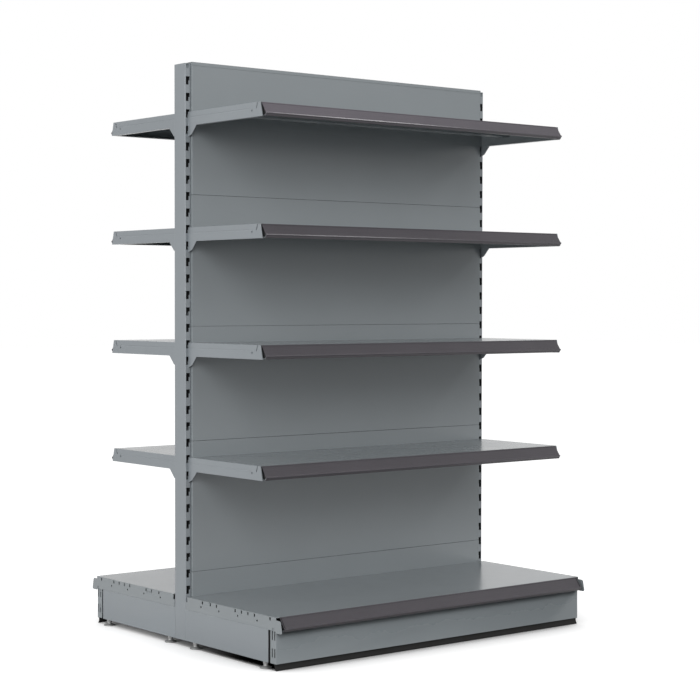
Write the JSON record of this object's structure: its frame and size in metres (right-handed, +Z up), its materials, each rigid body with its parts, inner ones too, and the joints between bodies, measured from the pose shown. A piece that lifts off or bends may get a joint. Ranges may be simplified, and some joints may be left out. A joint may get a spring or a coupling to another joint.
{
  "type": "gondola shelving",
  "caption": "Free-standing double-sided steel gondola shelving bay with slotted uprights, back panels, bracketed shelves with ticket strips, and a wide base with kick plates.",
  "frame": {"origin": "on the floor, midway between the uprights and between the two sides", "axes": "+X along the bay to the right, -Y towards the front side, +Z up"},
  "size_m": [1.246, 1.044, 1.7812],
  "materials": {
    "grey_powder_coat": "semi-gloss grey powder coat",
    "grey_cap": "moulded grey",
    "ticket_strip": "extruded, satin, fine ribs",
    "black_seal": "matt black",
    "foot_plating": "zinc plated"
  },
  "bodies": {
    "frame": {"upright_left": "grey_powder_coat", "upright_right": "grey_powder_coat", "upright_caps": "grey_cap", "top_rail": "grey_powder_coat", "crossbars": "grey_powder_coat", "back_panel_front_1": "grey_powder_coat", "back_panel_front_2": "grey_powder_coat", "back_panel_front_3": "grey_powder_coat", "back_panel_front_4": "grey_powder_coat", "back_panel_front_5": "grey_powder_coat", "back_panel_rear_1": "grey_powder_coat", "back_panel_rear_2": "grey_powder_coat", "back_panel_rear_3": "grey_powder_coat", "back_panel_rear_4": "grey_powder_coat", "back_panel_rear_5": "grey_powder_coat", "base_leg_front_left": "grey_powder_coat", "base_leg_front_right": "grey_powder_coat", "base_leg_rear_left": "grey_powder_coat", "base_leg_rear_right": "grey_powder_coat", "brackets_front_1": "grey_powder_coat", "brackets_front_2": "grey_powder_coat", "brackets_front_3": "grey_powder_coat", "brackets_front_4": "grey_powder_coat", "brackets_rear_1": "grey_powder_coat", "brackets_rear_2": "grey_powder_coat", "brackets_rear_3": "grey_powder_coat", "brackets_rear_4": "grey_powder_coat"},
    "shelf_front_1_body": {"shelf_front_1": "grey_powder_coat", "ticket_strip_front_1": "ticket_strip"},
    "shelf_front_2_body": {"shelf_front_2": "grey_powder_coat", "ticket_strip_front_2": "ticket_strip"},
    "shelf_front_3_body": {"shelf_front_3": "grey_powder_coat", "ticket_strip_front_3": "ticket_strip"},
    "shelf_front_4_body": {"shelf_front_4": "grey_powder_coat", "ticket_strip_front_4": "ticket_strip"},
    "deck_front_body": {"base_deck_front": "grey_powder_coat", "base_ticket_strip_front": "ticket_strip"},
    "kick_front_body": {"kick_plate_front": "grey_powder_coat", "kick_seal_front": "black_seal"},
    "foot_front_left_near_body": {"foot_front_left_near": "foot_plating"},
    "foot_front_left_far_body": {"foot_front_left_far": "foot_plating"},
    "foot_front_right_near_body": {"foot_front_right_near": "foot_plating"},
    "foot_front_right_far_body": {"foot_front_right_far": "foot_plating"},
    "shelf_rear_1_body": {"shelf_rear_1": "grey_powder_coat", "ticket_strip_rear_1": "ticket_strip"},
    "shelf_rear_2_body": {"shelf_rear_2": "grey_powder_coat", "ticket_strip_rear_2": "ticket_strip"},
    "shelf_rear_3_body": {"shelf_rear_3": "grey_powder_coat", "ticket_strip_rear_3": "ticket_strip"},
    "shelf_rear_4_body": {"shelf_rear_4": "grey_powder_coat", "ticket_strip_rear_4": "ticket_strip"},
    "deck_rear_body": {"base_deck_rear": "grey_powder_coat", "base_ticket_strip_rear": "ticket_strip"},
    "kick_rear_body": {"kick_plate_rear": "grey_powder_coat", "kick_seal_rear": "black_seal"},
    "foot_rear_left_near_body": {"foot_rear_left_near": "foot_plating"},
    "foot_rear_left_far_body": {"foot_rear_left_far": "foot_plating"},
    "foot_rear_right_near_body": {"foot_rear_right_near": "foot_plating"},
    "foot_rear_right_far_body": {"foot_rear_right_far": "foot_plating"}
  },
  "joints": [
    {"name": "shelf_front_1_lift", "type": "slide", "parent": "frame", "child": "shelf_front_1_body", "axis": [0, 0, 1], "range_m": [0, 0.05]},
    {"name": "shelf_front_2_lift", "type": "slide", "parent": "frame", "child": "shelf_front_2_body", "axis": [0, 0, 1], "range_m": [0, 0.05]},
    {"name": "shelf_front_3_lift", "type": "slide", "parent": "frame", "child": "shelf_front_3_body", "axis": [0, 0, 1], "range_m": [0, 0.05]},
    {"name": "shelf_front_4_lift", "type": "slide", "parent": "frame", "child": "shelf_front_4_body", "axis": [0, 0, 1], "range_m": [0, 0.05]},
    {"name": "deck_front_lift", "type": "slide", "parent": "frame", "child": "deck_front_body", "axis": [0, 0, 1], "range_m": [0, 0.05]},
    {"name": "kick_front_lift", "type": "slide", "parent": "frame", "child": "kick_front_body", "axis": [0, 0, 1], "range_m": [0, 0.008]},
    {"name": "foot_front_left_near_screw", "type": "slide", "parent": "frame", "child": "foot_front_left_near_body", "axis": [0, 0, -1], "range_m": [0, 0.015]},
    {"name": "foot_front_left_far_screw", "type": "slide", "parent": "frame", "child": "foot_front_left_far_body", "axis": [0, 0, -1], "range_m": [0, 0.015]},
    {"name": "foot_front_right_near_screw", "type": "slide", "parent": "frame", "child": "foot_front_right_near_body", "axis": [0, 0, -1], "range_m": [0, 0.015]},
    {"name": "foot_front_right_far_screw", "type": "slide", "parent": "frame", "child": "foot_front_right_far_body", "axis": [0, 0, -1], "range_m": [0, 0.015]},
    {"name": "shelf_rear_1_lift", "type": "slide", "parent": "frame", "child": "shelf_rear_1_body", "axis": [0, 0, 1], "range_m": [0, 0.05]},
    {"name": "shelf_rear_2_lift", "type": "slide", "parent": "frame", "child": "shelf_rear_2_body", "axis": [0, 0, 1], "range_m": [0, 0.05]},
    {"name": "shelf_rear_3_lift", "type": "slide", "parent": "frame", "child": "shelf_rear_3_body", "axis": [0, 0, 1], "range_m": [0, 0.05]},
    {"name": "shelf_rear_4_lift", "type": "slide", "parent": "frame", "child": "shelf_rear_4_body", "axis": [0, 0, 1], "range_m": [0, 0.05]},
    {"name": "deck_rear_lift", "type": "slide", "parent": "frame", "child": "deck_rear_body", "axis": [0, 0, 1], "range_m": [0, 0.05]},
    {"name": "kick_rear_lift", "type": "slide", "parent": "frame", "child": "kick_rear_body", "axis": [0, 0, 1], "range_m": [0, 0.008]},
    {"name": "foot_rear_left_near_screw", "type": "slide", "parent": "frame", "child": "foot_rear_left_near_body", "axis": [0, 0, -1], "range_m": [0, 0.015]},
    {"name": "foot_rear_left_far_screw", "type": "slide", "parent": "frame", "child": "foot_rear_left_far_body", "axis": [0, 0, -1], "range_m": [0, 0.015]},
    {"name": "foot_rear_right_near_screw", "type": "slide", "parent": "frame", "child": "foot_rear_right_near_body", "axis": [0, 0, -1], "range_m": [0, 0.015]},
    {"name": "foot_rear_right_far_screw", "type": "slide", "parent": "frame", "child": "foot_rear_right_far_body", "axis": [0, 0, -1], "range_m": [0, 0.015]}
  ]
}
